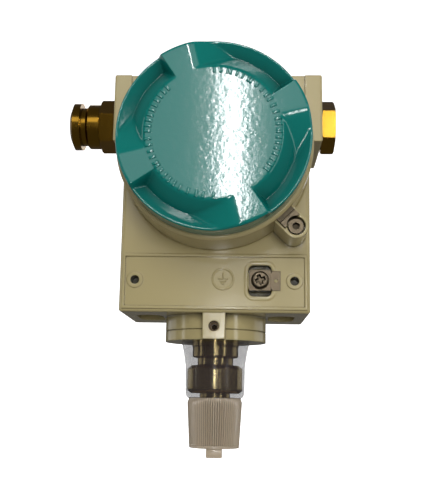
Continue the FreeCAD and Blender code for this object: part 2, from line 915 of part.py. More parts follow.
def electronics_module():
    inner_r = module_r - module_rim
    strip_y = module_face - module_recess
    profile = [(0, partition_back), (module_r, partition_back), (module_r, module_face),
               (inner_r, module_face), (inner_r, strip_y), (0, strip_y)]
    potted = turned(profile, axis_z * axis_level, axis_y, axis_x)
    strip = block(V(-plug_strip_width / 2, strip_y, axis_level - plug_strip_height / 2),
                  V(plug_strip_width / 2, strip_y + plug_strip_depth, axis_level + plug_strip_height / 2))
    holes = [rod(module_screw_d + 2 * fixed_gap, point, V(point.x, module_face, point.z))
             for point in module_screw_points()]
    return joined([potted, strip]).cut(holes)


def electronics_screws():
    screws = []
    for point in module_screw_points():
        seat = V(point.x, module_face - module_recess, point.z)
        bite = module_depth - module_recess + partition_thickness - 2 * moving_gap
        screws.append(slotted_screw(module_screw_head_d, module_screw_head_height,
                                    module_screw_d - 2 * fixed_gap, bite, seat, axis_y))
    return Part.makeCompound(screws)


# Keys and flap

def key_guide():
    plate = key_well(fixed_gap, key_guide_z, key_guide_top)
    holes = [rod(key_d + 2 * moving_gap, point + axis_z * key_guide_z, point + axis_z * key_guide_top)
             for point in key_points()]
    return plate.cut(holes)


def key(index):
    point = key_points()[index]
    flange = rod(key_flange_d, point + axis_z * key_flange_z, point + axis_z * key_guide_z)
    stem = rod(key_d, point + axis_z * key_guide_z, point + axis_z * (top_z - flap_hollow))
    return joined([flange, stem])


def key_mode():
    return key(0)


def key_down():
    return key(1)


def key_up():
    return key(2)


def key_cover():
    half = flap_width / 2
    barrel_r = hinge_barrel_d / 2
    knuckle = hinge_lug_x - hinge_lug_width / 2 - moving_gap
    back = hinge_offset - barrel_r - moving_gap
    plate = rounded_block(V(-half, hinge_offset - flap_length, top_z), V(half, back, top_z + flap_thickness),
                          axis_z, flap_corner)
    tongue = block(V(-knuckle, back - flap_corner, top_z + moving_gap),
                   V(knuckle, hinge_offset, top_z + flap_thickness))
    left = V(-knuckle, hinge_offset, hinge_z)
    right = V(knuckle, hinge_offset, hinge_z)
    barrel = rod(hinge_barrel_d, left, right)
    bore = rod(hinge_pin_d + 2 * running_gap, left, right)
    hollow = key_well(0, top_z, top_z + flap_hollow)
    return joined([plate, tongue, barrel]).cut([bore, hollow])


def key_cover_pin():
    reach = hinge_lug_x + hinge_lug_width / 2
    return rod(hinge_pin_d, V(-reach, hinge_offset, hinge_z), V(reach, hinge_offset, hinge_z))


# Protective cap

def cap_radius(z):
    """Outer radius of the tapered cap at a level."""
    low = cap_low_z()
    high = cap_high_z()
    share = (z - low) / (high - low)
    return (cap_end_d + (cap_mouth_d - cap_end_d) * share) / 2 - cap_rib_height


def cap_high_z():
    return thread_length + cap_rim_drop


def cap_low_z():
    return spigot_end_z - cap_floor


def protective_cap():
    low = cap_low_z()
    high = cap_high_z()
    floor = spigot_end_z
    profile = [
        (0, low),
        (cap_radius(low), low),
        (cap_radius(high), high),
        (cap_radius(high) - cap_wall, high),
        (cap_radius(floor) - cap_wall, floor),
        (0, floor),
    ]
    cup = turned(profile, origin, axis_z, axis_x)
    rib_low = low + cap_rib_margin
    rib_high = high - cap_rib_margin
    ribs = []
    for index in range(cap_rib_count):
        angle = index * full_angle / cap_rib_count
        corners = [
            V(cap_radius(rib_low) - cap_wall / 2, -cap_rib_width / 2, rib_low),
            V(cap_radius(rib_low) + cap_rib_height, -cap_rib_width / 2, rib_low),
            V(cap_radius(rib_high) + cap_rib_height, -cap_rib_width / 2, rib_high),
            V(cap_radius(rib_high) - cap_wall / 2, -cap_rib_width / 2, rib_high),
        ]
        rib = sheet(corners).extrude(axis_y * cap_rib_width)
        rib.rotate(origin, axis_z, angle)
        ribs.append(rib)
    tab = block(V(-cap_tab_width / 2, -cap_tab_thickness / 2, low - cap_tab_length),
                V(cap_tab_width / 2, cap_tab_thickness / 2, low))
    return joined([cup, tab] + ribs)


# Outer earth terminal

def earth_tab():
    low = V(earth_x - earth_plate_width / 2, earth_tab_y, earth_z - earth_pad_height / 2)
    high = V(earth_x + earth_slot_width / 2, panel_y, earth_z + earth_pad_height / 2)
    under = block(low, high)
    tongue = block(V(high.x, earth_tab_y, earth_z - earth_tab_height / 2),
                   V(earth_x + earth_tab_reach, panel_y, earth_z + earth_tab_height / 2))
    hole_x = (high.x + earth_x + earth_tab_reach) / 2
    hole = rod(earth_tab_hole_d, V(hole_x, earth_tab_y, earth_z), V(hole_x, panel_y, earth_z))
    screw_hole = rod(earth_screw_d + 2 * fixed_gap, V(earth_x, earth_tab_y, earth_z),
                     V(earth_x, panel_y, earth_z))
    return joined([under, tongue]).cut([hole, screw_hole])


def earth_clamp():
    half_x = earth_plate_width / 2
    half_z = earth_plate_height / 2
    plate = block(V(earth_x - half_x, earth_plate_y, earth_z - half_z),
                  V(earth_x + half_x, earth_tab_y, earth_z + half_z))
    lips = []
    for side in (-1, 1):
        outer = earth_z + side * half_z
        inner = outer - side * (half_z - earth_pad_height / 2 - fixed_gap)
        lips.append(block(V(earth_x - half_x, earth_tab_y, min(inner, outer)),
                          V(earth_x + half_x, earth_tab_y + earth_lip_depth, max(inner, outer))))
    hole = rod(earth_screw_d + 2 * fixed_gap, V(earth_x, earth_plate_y, earth_z),
               V(earth_x, earth_tab_y, earth_z))
    return joined([plate] + lips).cut(hole)


def earth_screw():
    seat = V(earth_x, earth_plate_y, earth_z)
    head_r = earth_head_d / 2
    profile = [(0, 0), (head_r, 0), (head_r, earth_head_height - earth_head_crown),
               (head_r - earth_head_crown, earth_head_height), (0, earth_head_height)]
    head = turned(profile, seat, axis_y * -1, axis_x)
    shank_end = V(earth_x, panel_y + earth_screw_length - moving_gap, earth_z)
    shank = rod(earth_screw_d - 2 * fixed_gap, seat, shank_end)
    face = seat - axis_y * earth_head_height
    socket = hexagon_bar(earth_recess_d, sharp_corners(earth_recess_d), face,
                         face + axis_y * earth_recess_depth, axis_x, fixed_gap)
    return joined([head, shank]).cut(socket)


# Cable gland on the left, blanking plug on the right

def gasket_ring(side):
    start = V(side * boss_end, 0, entry_z)
    end = start + axis_x * (side * entry_gasket_thickness)
    return rod(entry_gasket_d, start, end).cut(rod(cable_hole_d, start, end))


def tilted_side(angle):
    """Direction of a hexagon flat that faces the terminal side, turned downwards."""
    return V(0, -math.cos(math.radians(angle)), -math.sin(math.radians(angle)))


def gland_gasket():
    return gasket_ring(-1)


def gland_levels():
    hexagon_start = -boss_end - entry_gasket_thickness
    hexagon_end = hexagon_start - gland_hexagon_length
    nut_start = hexagon_end - moving_gap
    nut_end = nut_start - gland_nut_length - gland_nut_neck_length - gland_nut_end_length
    return hexagon_start, hexagon_end, nut_start, nut_end


def gland_body():
    hexagon_start, hexagon_end, nut_start, nut_end = gland_levels()
    at = axis_z * entry_z
    hexagon = hexagon_bar(entry_hexagon_flats, sharp_corners(entry_hexagon_flats),
                          at + axis_x * hexagon_start, at + axis_x * hexagon_end,
                          tilted_side(gland_hexagon_angle), entry_hexagon_chamfer)
    inner_end = -boss_end + entry_thread_length
    spigot = rod(cable_hole_d - 2 * fixed_gap, at + axis_x * inner_end, at + axis_x * hexagon_start)
    stub_end = nut_end + gland_nut_end_length + gland_stub_setback
    stub = rod(gland_stub_d, at + axis_x * hexagon_end, at + axis_x * stub_end)
    bore = rod(gland_bore_d + 2 * moving_gap, at + axis_x * inner_end, at + axis_x * stub_end)
    return joined([hexagon, spigot, stub]).cut(bore)


def gland_nut():
    hexagon_start, hexagon_end, nut_start, nut_end = gland_levels()
    start = V(nut_start, 0, entry_z)
    neck_at = gland_nut_length
    end_at = neck_at + gland_nut_neck_length
    length = nut_start - nut_end
    stub_end = nut_end + gland_nut_end_length + gland_stub_setback
    inner_r = gland_stub_d / 2 + moving_gap
    inner_end = nut_start - stub_end + moving_gap
    profile = [
        (inner_r, 0),
        (gland_nut_d / 2, 0),
        (gland_nut_d / 2, neck_at - gland_nut_edge),
        (gland_nut_neck_d / 2, neck_at),
        (gland_nut_neck_d / 2, end_at),
        (gland_nut_end_d / 2, end_at),
        (gland_nut_end_d / 2, length - gland_nut_end_chamfer),
        (gland_nut_end_face_d / 2, length),
        (gland_mouth_d / 2, length),
        (gland_mouth_d / 2, inner_end),
        (inner_r, inner_end),
    ]
    return turned(profile, start, axis_x * -1, axis_z)


def gland_seal():
    hexagon_start, hexagon_end, nut_start, nut_end = gland_levels()
    stub_end = nut_end + gland_nut_end_length + gland_stub_setback
    start = V(hexagon_end, 0, entry_z)
    end = V(stub_end - moving_gap, 0, entry_z)
    return rod(gland_bore_d, start, end).cut(rod(cable_d, start, end))


def plug_gasket():
    return gasket_ring(1)


def blanking_plug():
    at = axis_z * entry_z
    start = boss_end + entry_gasket_thickness
    end = start + plug_hexagon_length
    hexagon = hexagon_bar(entry_hexagon_flats, sharp_corners(entry_hexagon_flats),
                          at + axis_x * start, at + axis_x * end,
                          tilted_side(plug_hexagon_angle), entry_hexagon_chamfer)
    inner_end = boss_end - entry_thread_length
    spigot = rod(cable_hole_d - 2 * fixed_gap, at + axis_x * inner_end, at + axis_x * start)
    return joined([hexagon, spigot])


PIECES = [
    process_connection, isolating_diaphragm, measuring_cell, sensor_header, cell_seal,
    housing, housing_terminal_side, housing_electronics_side, housing_crown, locking_screw,
    terminal_cover, terminal_cover_gasket,
    terminal_block, terminal_clamp_screws, terminal_block_screws, inner_earth_screw, feedthrough,
    electronics_module, electronics_screws,
    key_guide, key_mode, key_down, key_up, key_cover, key_cover_pin,
    protective_cap,
    earth_tab, earth_clamp, earth_screw,
    gland_gasket, gland_body, gland_nut, gland_seal, plug_gasket, blanking_plug,
]

REAR_PIECES = [
    ("electronics_cover", terminal_cover),
    ("electronics_cover_gasket", terminal_cover_gasket),
    ("electronics_lock_clip", lock_clip),
    ("electronics_lock_screw", lock_screw),
]

FRONT_LOCK_PIECES = [
    ("terminal_lock_clip", lock_clip),
    ("terminal_lock_screw", lock_screw),
]


def main():
    os.makedirs("parts", exist_ok=True)
    shapes = [(piece.__name__, piece()) for piece in PIECES]
    shapes += [(name, piece()) for name, piece in FRONT_LOCK_PIECES]
    shapes += [(name, to_rear(piece())) for name, piece in REAR_PIECES]
    for name, shape in shapes:
        shape.exportStep("parts/" + name + ".step")
        print(name, len(shape.Solids), "solids", round(shape.Volume), "mm3", shape.isValid())


main()
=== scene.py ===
"""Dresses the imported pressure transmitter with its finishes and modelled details, and sets its stage."""

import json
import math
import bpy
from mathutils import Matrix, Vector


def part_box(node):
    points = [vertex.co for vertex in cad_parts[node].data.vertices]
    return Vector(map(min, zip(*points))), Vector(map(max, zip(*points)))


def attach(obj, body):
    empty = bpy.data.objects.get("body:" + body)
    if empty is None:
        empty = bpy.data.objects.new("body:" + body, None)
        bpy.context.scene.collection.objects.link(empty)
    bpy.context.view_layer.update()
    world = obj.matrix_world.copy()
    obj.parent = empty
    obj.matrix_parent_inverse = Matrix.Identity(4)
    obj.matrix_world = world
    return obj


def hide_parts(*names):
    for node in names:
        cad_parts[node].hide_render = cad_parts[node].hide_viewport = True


bl_info = {
    "name": "Pressure Transmitter",
    "version": (1, 0, 0),
    "blender": (4, 5, 0),
    "location": "View3D > Sidebar > Transmitter",
    "description": "Finishes, modelled details and studio stage of a two-chamber pressure transmitter",
    "category": "Object",
}

import bmesh
import bpy
from bpy.props import FloatProperty, FloatVectorProperty, IntProperty, PointerProperty
from mathutils import Matrix, Vector

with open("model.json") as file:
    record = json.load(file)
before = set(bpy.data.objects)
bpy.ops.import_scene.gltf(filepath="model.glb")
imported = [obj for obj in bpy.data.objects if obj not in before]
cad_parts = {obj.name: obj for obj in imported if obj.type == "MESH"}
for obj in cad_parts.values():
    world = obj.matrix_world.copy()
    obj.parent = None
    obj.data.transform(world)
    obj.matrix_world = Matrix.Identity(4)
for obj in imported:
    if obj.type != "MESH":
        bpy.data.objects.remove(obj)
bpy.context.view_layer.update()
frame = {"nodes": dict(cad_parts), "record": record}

MM = 0.001
ORIGIN = Vector((0, 0, 0))
X_AXIS = Vector((1, 0, 0))
Y_AXIS = Vector((0, 1, 0))
Z_AXIS = Vector((0, 0, 1))
COVER_LOW, COVER_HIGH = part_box("terminal_cover")
GASKET_LOW, GASKET_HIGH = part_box("terminal_cover_gasket")
COVER_CENTRE = Vector((0, COVER_LOW.y, (GASKET_LOW.z + GASKET_HIGH.z) / 2))
COVER_RIM = max(COVER_HIGH.x - COVER_LOW.x, COVER_HIGH.z - COVER_LOW.z) / 2
COVER_HEIGHT = COVER_HIGH.y - COVER_LOW.y
CAP_LOW, CAP_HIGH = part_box("protective_cap")
STEEL_LOW, STEEL_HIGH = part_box("process_connection")
EARTH_LOW, EARTH_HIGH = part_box("earth_screw")
EARTH_SEAT_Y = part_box("earth_clamp")[0].y
PANEL_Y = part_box("earth_tab")[1].y
FINISHES = {}


def linear(code):
    """Linear colour of an sRGB hex value."""
    channels = []
    for start in (0, 2, 4):
        value = int(code[start:start + 2], 16) / 255
        channels.append(value / 12.92 if value <= 0.04045 else ((value + 0.055) / 1.055) ** 2.4)
    return tuple(channels)


def colour(label, text, code):
    """Colour property with its sRGB default."""
    return FloatVectorProperty(name=label, description=text, subtype="COLOR", size=3, min=0, max=1,
                               default=linear(code))


def length(label, text, millimetres):
    """Length property whose default is given in millimetres."""
    return FloatProperty(name=label, description=text, default=millimetres * MM, min=0, unit="LENGTH",
                         precision=5)


def degrees(label, text, value):
    """Angle property whose default is given in degrees."""
    return FloatProperty(name=label, description=text, default=math.radians(value), unit="ROTATION")


def watts(label, text, value):
    """Power property of a light."""
    return FloatProperty(name=label, description=text, default=value, min=0, unit="POWER")


class TransmitterColours(bpy.types.PropertyGroup):
    """Colours of the finishes."""
    housing: colour("Housing", "Paint of the casting", "a6996e")
    cover: colour("Covers", "Paint of the screw covers", "0a6e66")
    stainless: colour("Stainless", "Turned stainless steel", "bba97a")
    plated: colour("Plated steel", "Screws, clips and clamp", "564d3f")
    brass: colour("Brass", "Gland and blanking plug", "9a7426")
    cap: colour("Cap", "Milky polyethylene", "cabaa2")
    skirt: colour("Cap skirt", "Thin clear polyethylene", "40383a")
    rubber: colour("Rubber", "Gaskets and seals", "161616")


class TransmitterSizes(bpy.types.PropertyGroup):
    """Sizes of the modelled details."""
    lug_count: IntProperty(name="Lugs", description="Grip lugs round a cover", default=4, min=2)
    lug_first: degrees("First lug", "Direction of the first lug", 24)
    lug_angle: degrees("Lug width", "Angle that a lug takes", 20)
    pocket_reach: length("Pocket reach", "Width of a grip pocket from the rim", 12.9)
    valley_inset: length("Valley inset", "Distance of the pocket's valley from the rim", 6.3)
    pocket_depth: length("Pocket depth", "Depth of the pocket's valley", 6.0)
    lip_depth: length("Lip depth", "Depth of the pocket at the rim", 2.4)
    ramp: degrees("Ramp", "Slope of the flat ramp at a pocket's end", 19.5)
    wall: degrees("Wall", "Slope of the steep wall at a pocket's start", 66)
    blend: length("Blend", "Rounding between the cast faces of a pocket", 0.9)
    edge: length("Rim rounding", "Rounding of the cover's rim", 1.2)
    bar_height: length("Bar height", "Height of the raised bars on a cover", 0.4)
    bore: length("Cover bore", "Radius of the cover's threaded bore", 36.8)
    ceiling: length("Cover thickness", "Thickness of the cover above its bore", 6.7)
    hexagon_flats: length("Hexagon", "Width of the steel hexagon across its flats", 27)
    bar_diameter: length("Bar", "Diameter of the bar that the hexagon is turned from", 28.6)
    thread_pitch: length("Thread pitch", "Pitch of the pipe thread", 1.814)
    thread_depth: length("Thread depth", "Depth of the pipe thread", 1.162)
    cap_ribs: IntProperty(name="Cap ribs", description="Fine grip ribs round the cap", default=72, min=12)
    cap_rib_height: length("Rib height", "Height of the cap's ribs", 0.7)
    earth_mark_radius: length("Earth mark", "Radius of the ring round the earth mark", 4.87)


class TransmitterStage(bpy.types.PropertyGroup):
    """Studio, light and camera."""
    floor: FloatProperty(name="Floor level", description="Height of the studio floor", default=-0.12,
                         unit="LENGTH")
    focal: FloatProperty(name="Focal length", description="Camera lens in millimetres", default=60.5,
                         unit="CAMERA")
    world: FloatProperty(name="Ambient", description="Strength of the even studio light", default=0.1)
    backdrop: FloatProperty(name="Backdrop", description="Brightness of the white studio round the object",
                            default=1.05)
    key: watts("Key light", "Power of the tall strip light", 2.2)
    front: watts("Front light", "Power of the wide front panel", 2.7)
    near: watts("Near light", "Power of the soft light beside the camera", 5.2)
    side: watts("Side lights", "Power of each wide light at the sides", 2.6)
    fill: watts("Fill light", "Power of the soft side lights", 1.2)
    top: watts("Top light", "Power of the soft light overhead", 2.1)
    rear: watts("Rear light", "Power of the soft light behind", 6.0)


def add(tree, kind, inputs=None, **settings):
    """Adds a node with its settings, and links or sets its inputs by name or number."""
    node = tree.nodes.new(kind)
    for name, value in settings.items():
        setattr(node, name, value)
    for key, value in (inputs or {}).items():
        socket = node.inputs[key]
        if isinstance(value, bpy.types.NodeSocket):
            tree.links.new(value, socket)
        else:
            socket.default_value = value
    return node


def blank(name):
    """New material with its shader, and the tree and Object coordinates to build on."""
    material = bpy.data.materials.new(name)
    material.use_nodes = True
    tree = material.node_tree
    shader = tree.nodes["Principled BSDF"]
    place = add(tree, "ShaderNodeTexCoord").outputs["Object"]
    return material, tree, shader, place


def shaded(value, factor):
    """Colour made lighter or darker by a factor, with full alpha."""
    return (value[0] * factor, value[1] * factor, value[2] * factor, 1.0)


def gloss_paint(name, base, peel_mm, peel_depth_mm, edge_mm, roughness, shade_reach_mm, open_share):
    """Stoved gloss paint over a die casting, with painted shade that darkens it deep in recesses."""
    cloud_mm = 35
    material, tree, shader, place = blank(name)
    cloud = add(tree, "ShaderNodeTexNoise", {"Vector": place, "Scale": 1 / (cloud_mm * MM), "Detail": 2.0})
    tint = add(tree, "ShaderNodeMix", {0: cloud.outputs[0], 6: shaded(base, 0.94), 7: shaded(base, 1.05)},
               data_type="RGBA")
    peel = add(tree, "ShaderNodeTexNoise", {"Vector": place, "Scale": 1 / (peel_mm * MM), "Detail": 1.0})
    edge = add(tree, "ShaderNodeBevel", {"Radius": edge_mm * MM}, samples=6)
    bump = add(tree, "ShaderNodeBump", {"Height": peel.outputs[0], "Distance": peel_depth_mm * MM,
                                        "Normal": edge.outputs["Normal"]})
    # Painted shade: ambient occlusion within this piece darkens the paint towards near black deep in holes,
    # slots, grip pockets and inner corners.
    shade_occlusion = add(tree, "ShaderNodeAmbientOcclusion", {"Distance": shade_reach_mm * MM}, samples=8,
                 only_local=True)
    painted_shade_level = add(tree, "ShaderNodeMapRange", {"Value": shade_occlusion.outputs["AO"], "From Min": 0.34,
                                               "From Max": open_share, "To Min": 0.08})
    painted_shade_mix = add(tree, "ShaderNodeMix", {0: painted_shade_level.outputs["Result"], 6: shaded(base, 0.06),
                                       7: tint.outputs[2]}, data_type="RGBA")
    tree.links.new(painted_shade_mix.outputs[2], shader.inputs["Base Color"])
    tree.links.new(bump.outputs["Normal"], shader.inputs["Normal"])
    shader.inputs["Roughness"].default_value = roughness
    return material


def turned_metal(name, base, axis, roughness, edge_mm, shade_reach_mm):
    """Metal turned on a lathe, with tool marks as rings round the given axis, and painted shade that
    darkens it in its recesses.
    """
    mark_mm = 0.45
    mark_depth_mm = 0.012
    stain_mm = 9
    material, tree, shader, place = blank(name)
    parts = add(tree, "ShaderNodeSeparateXYZ", {"Vector": place})
    marks = add(tree, "ShaderNodeTexNoise", {"W": parts.outputs[axis], "Scale": 1 / (mark_mm * MM),
                                             "Detail": 3.0}, noise_dimensions="1D")
    stain = add(tree, "ShaderNodeTexNoise", {"Vector": place, "Scale": 1 / (stain_mm * MM), "Detail": 3.0})
    tint = add(tree, "ShaderNodeMix", {0: stain.outputs[0], 6: shaded(base, 0.82), 7: shaded(base, 1.08)},
               data_type="RGBA")
    gloss = add(tree, "ShaderNodeMapRange", {"Value": marks.outputs[0], "To Min": roughness * 0.7,
                                             "To Max": roughness * 1.4})
    edge = add(tree, "ShaderNodeBevel", {"Radius": edge_mm * MM}, samples=6)
    bump = add(tree, "ShaderNodeBump", {"Height": marks.outputs[0], "Distance": mark_depth_mm * MM,
                                        "Normal": edge.outputs["Normal"]})
    # Painted shade: ambient occlusion within this piece darkens the metal towards near black in sockets,
    # grooves and recesses.
    shade_occlusion = add(tree, "ShaderNodeAmbientOcclusion", {"Distance": shade_reach_mm * MM}, samples=8,
                 only_local=True)
    # How much painted shade the metal gets, from its occlusion.
    bright = add(tree, "ShaderNodeMapRange", {"Value": shade_occlusion.outputs["AO"], "From Min": 0.2,
                                              "From Max": 0.7})
    metal = add(tree, "ShaderNodeMix", {0: bright.outputs["Result"], 6: shaded(base, 0.08),
                                        7: tint.outputs[2]}, data_type="RGBA")
    tree.links.new(metal.outputs[2], shader.inputs["Base Color"])
    tree.links.new(gloss.outputs["Result"], shader.inputs["Roughness"])
    tree.links.new(bump.outputs["Normal"], shader.inputs["Normal"])
    shader.inputs["Metallic"].default_value = 1.0
    return material


def moulded(name, base, roughness, grain_mm, grain_depth_mm):
    """Moulded plastic or rubber with the fine grain of its mould."""
    edge_mm = 0.3
    material, tree, shader, place = blank(name)
    grain = add(tree, "ShaderNodeTexNoise", {"Vector": place, "Scale": 1 / (grain_mm * MM), "Detail": 2.0})
    tint = add(tree, "ShaderNodeMix", {0: grain.outputs[0], 6: shaded(base, 0.85), 7: shaded(base, 1.15)},
               data_type="RGBA")
    edge = add(tree, "ShaderNodeBevel", {"Radius": edge_mm * MM}, samples=4)
    bump = add(tree, "ShaderNodeBump", {"Height": grain.outputs[0], "Distance": grain_depth_mm * MM,
                                        "Normal": edge.outputs["Normal"]})
    tree.links.new(tint.outputs[2], shader.inputs["Base Color"])
    tree.links.new(bump.outputs["Normal"], shader.inputs["Normal"])
    shader.inputs["Roughness"].default_value = roughness
    return material


def milky_polyethylene(name, base):
    """Thin moulded polyethylene: waxy, cloudy and lit through, with painted shade between its ribs."""
    cloud_mm = 4
    cloud_depth_mm = 0.03
    material, tree, shader, place = blank(name)
    cloud = add(tree, "ShaderNodeTexNoise", {"Vector": place, "Scale": 1 / (cloud_mm * MM), "Detail": 2.0})
    tint = add(tree, "ShaderNodeMix", {0: cloud.outputs[0], 6: shaded(base, 0.9), 7: shaded(base, 1)},
               data_type="RGBA")
    # Painted shade: the cap's valley layer darkens its colour between the ribs.
    valley = add(tree, "ShaderNodeAttribute", attribute_name="valley")
    ribbed = add(tree, "ShaderNodeMix", {0: valley.outputs["Fac"], 6: tint.outputs[2],
                                         7: shaded(base, 0.6)}, data_type="RGBA")
    bump = add(tree, "ShaderNodeBump", {"Height": cloud.outputs[0], "Distance": cloud_depth_mm * MM})
    tree.links.new(ribbed.outputs[2], shader.inputs["Base Color"])
    tree.links.new(bump.outputs["Normal"], shader.inputs["Normal"])
    shader.inputs["Roughness"].default_value = 0.22
    shader.inputs["IOR"].default_value = 1.51
    shader.inputs["Transmission Weight"].default_value = 0.42
    return material


def clear_film(name, base):
    """Thin clear polyethylene, a little smoky, with faint ripples from the mould."""
    ripple_mm = 5
    ripple_depth_mm = 0.08
    material, tree, shader, place = blank(name)
    ripple = add(tree, "ShaderNodeTexNoise", {"Vector": place, "Scale": 1 / (ripple_mm * MM),
                                              "Detail": 1.0})
    sheen = add(tree, "ShaderNodeMapRange", {"Value": ripple.outputs[0], "To Min": 0.15, "To Max": 0.3})
    bump = add(tree, "ShaderNodeBump", {"Height": ripple.outputs[0], "Distance": ripple_depth_mm * MM})
    tree.links.new(sheen.outputs["Result"], shader.inputs["Roughness"])
    tree.links.new(bump.outputs["Normal"], shader.inputs["Normal"])
    shader.inputs["Base Color"].default_value = shaded(base, 1)
    shader.inputs["Alpha"].default_value = 0.29
    return material


def make_finishes(colours):
    """Materials by the record's slot names, and two looks that single pieces have."""
    return {
        # Polyester gloss paint on die-cast aluminium: even pebble colour, soft highlights on rounded edges,
        # painted shade in holes, slots and inner corners
        "housing_paint": gloss_paint("pebble_gloss_paint", colours.housing, 1.8, 0.012, 0.9, 0.15, 6, 0.72),
        # The same paint in teal, thicker and with a clear orange peel that breaks up reflections, and
        # painted shade deep in its grip pockets
        "cover_paint": gloss_paint("teal_gloss_paint", colours.cover, 2.0, 0.03, 0.5, 0.1, 16, 0.97),
        # The turned metals get painted shade in their sockets, grooves and recesses
        # Stainless bar turned on a lathe: dark and bright bands along the turned rings
        "stainless": turned_metal("turned_stainless", colours.stainless, "Z", 0.17, 0.25, 1.6),
        # Zinc-plated steel screws and stampings: warm grey and duller, with small round highlights
        "plated_steel": turned_metal("plated_steel", colours.plated, "Y", 0.3, 0.25, 3),
        # Set screws blackened in hot oxide salts: near black with a faint brown sheen
        "black_oxide": turned_metal("black_oxide_steel", linear("453c30"), "Y", 0.28, 0.25, 3),
        # Free-cutting brass turned and left bare: golden facets that mirror dark and light
        "brass": turned_metal("turned_brass", colours.brass, "X", 0.18, 0.3, 3),
        # Moulded nitrile rubber: black and matt
        "black_rubber": moulded("nitrile_rubber", colours.rubber, 0.7, 0.8, 0.02),
        # Glass-filled nylon terminal block: near black with a dry grain
        "terminal_plastic": moulded("filled_nylon", linear("26282b"), 0.55, 0.6, 0.02),
        # Cast potting compound in a plastic cup: dark slate, a little waxy
        "module_plastic": moulded("potting_compound", linear("2d3a44"), 0.45, 1.2, 0.02),
        # Moulded ABS key plate: dark grey, satin
        "key_plastic": moulded("satin_abs", linear("3a3a3a"), 0.5, 0.7, 0.015),
        # Silicone rubber keys: mid grey and matt
        "key_rubber": moulded("silicone_keys", linear("707070"), 0.65, 0.7, 0.02),
        # Polyethylene thread cap: milky, lit through, with a waxy sheen and painted shade between its ribs
        "cap_plastic": milky_polyethylene("milky_polyethylene", colours.cap),
        # The cap's thin skirt, blown out of the same plastic: smoky, and clear enough to show the steel
        "cap_skirt": clear_film("clear_polyethylene", colours.skirt),
    }


def finish(slot):
    """Finish of a record slot, made on first use."""
    if not FINISHES:
        FINISHES.update(make_finishes(bpy.context.scene.transmitter_colours))
    return FINISHES[slot]


def rise(start, end, count):
    """Evenly spaced levels from start to end."""
    return [start + (end - start) * index / count for index in range(count + 1)]


def spun(bm, profile, centre, along, steps):
    """Spins pairs of radius and distance along an axis into a full ring of faces."""
    verts = [bm.verts.new(centre + X_AXIS * radius + along * level) for radius, level in profile]
    edges = [bm.edges.new(pair) for pair in zip(verts, verts[1:])]
    bmesh.ops.spin(bm, geom=verts + edges, cent=centre, axis=along, dvec=(0, 0, 0), angle=2 * math.pi,
                   steps=steps, use_merge=True, use_normal_flip=False, use_duplicate=False)
    return bm


def bar(bm, centre, size, rounding, turn=Matrix.Identity(4)):
    """Adds a block with its edges bevelled."""
    scale = Matrix.Diagonal((size[0], size[1], size[2], 1))
    made = bmesh.ops.create_cube(bm, size=1, matrix=Matrix.Translation(centre) @ turn @ scale)
    edges = {edge for vert in made["verts"] for edge in vert.link_edges}
    bmesh.ops.bevel(bm, geom=list(edges), offset=rounding, offset_type="OFFSET", affect="EDGES",
                    segments=2, profile=0.5, material=-1, clamp_overlap=True)


def piece(name, bm, slot, body, replaced=(), sharp=32, look=None):
    """Finishes a bmesh as a piece that rides a body, with a record slot's finish or a look of its own."""
    bmesh.ops.remove_doubles(bm, verts=bm.verts, dist=0.002 * MM)
    bmesh.ops.recalc_face_normals(bm, faces=bm.faces)
    mesh = bpy.data.meshes.new(name)
    bm.to_mesh(mesh)
    bm.free()
    mesh.shade_smooth()
    mesh.set_sharp_from_angle(angle=math.radians(sharp))
    mesh.materials.append(finish(look or slot))
    obj = bpy.data.objects.new(name, mesh)
    bpy.context.scene.collection.objects.link(obj)
    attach(obj, body)
    if replaced:
        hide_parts(*replaced)


def soft_min(a, b, blend):
    """Smaller of two values, rounded where they cross."""
    overlap = max(blend - abs(a - b), 0) / blend
    return min(a, b) - overlap * overlap * blend / 4


def soft_max(a, b, blend):
    """Larger of two values, rounded where they cross."""
    return -soft_min(-a, -b, blend)


def pocket_depth(radius, angle, sizes):
    """Depth of the grip pockets below a cover's face at a radius and direction."""
    step = 2 * math.pi / sizes.lug_count
    sweep = step - sizes.lug_angle
    turn = (angle - sizes.lug_first - sizes.lug_angle / 2) % step
    valley = COVER_RIM - sizes.valley_inset
    inner = COVER_RIM - sizes.pocket_reach
    if radius < valley:
        trough = sizes.pocket_depth * (radius - inner) / (valley - inner)
    else:
        fall = (sizes.pocket_depth - sizes.lip_depth) / sizes.valley_inset
        trough = sizes.pocket_depth - fall * (radius - valley)
    ramp = radius * math.sin(sweep - turn) * math.tan(sizes.ramp)
    wall = radius * math.sin(turn) * math.tan(sizes.wall)
    depth = soft_min(soft_min(trough, ramp, sizes.blend), wall, sizes.blend)
    return soft_max(depth, 0, sizes.blend)


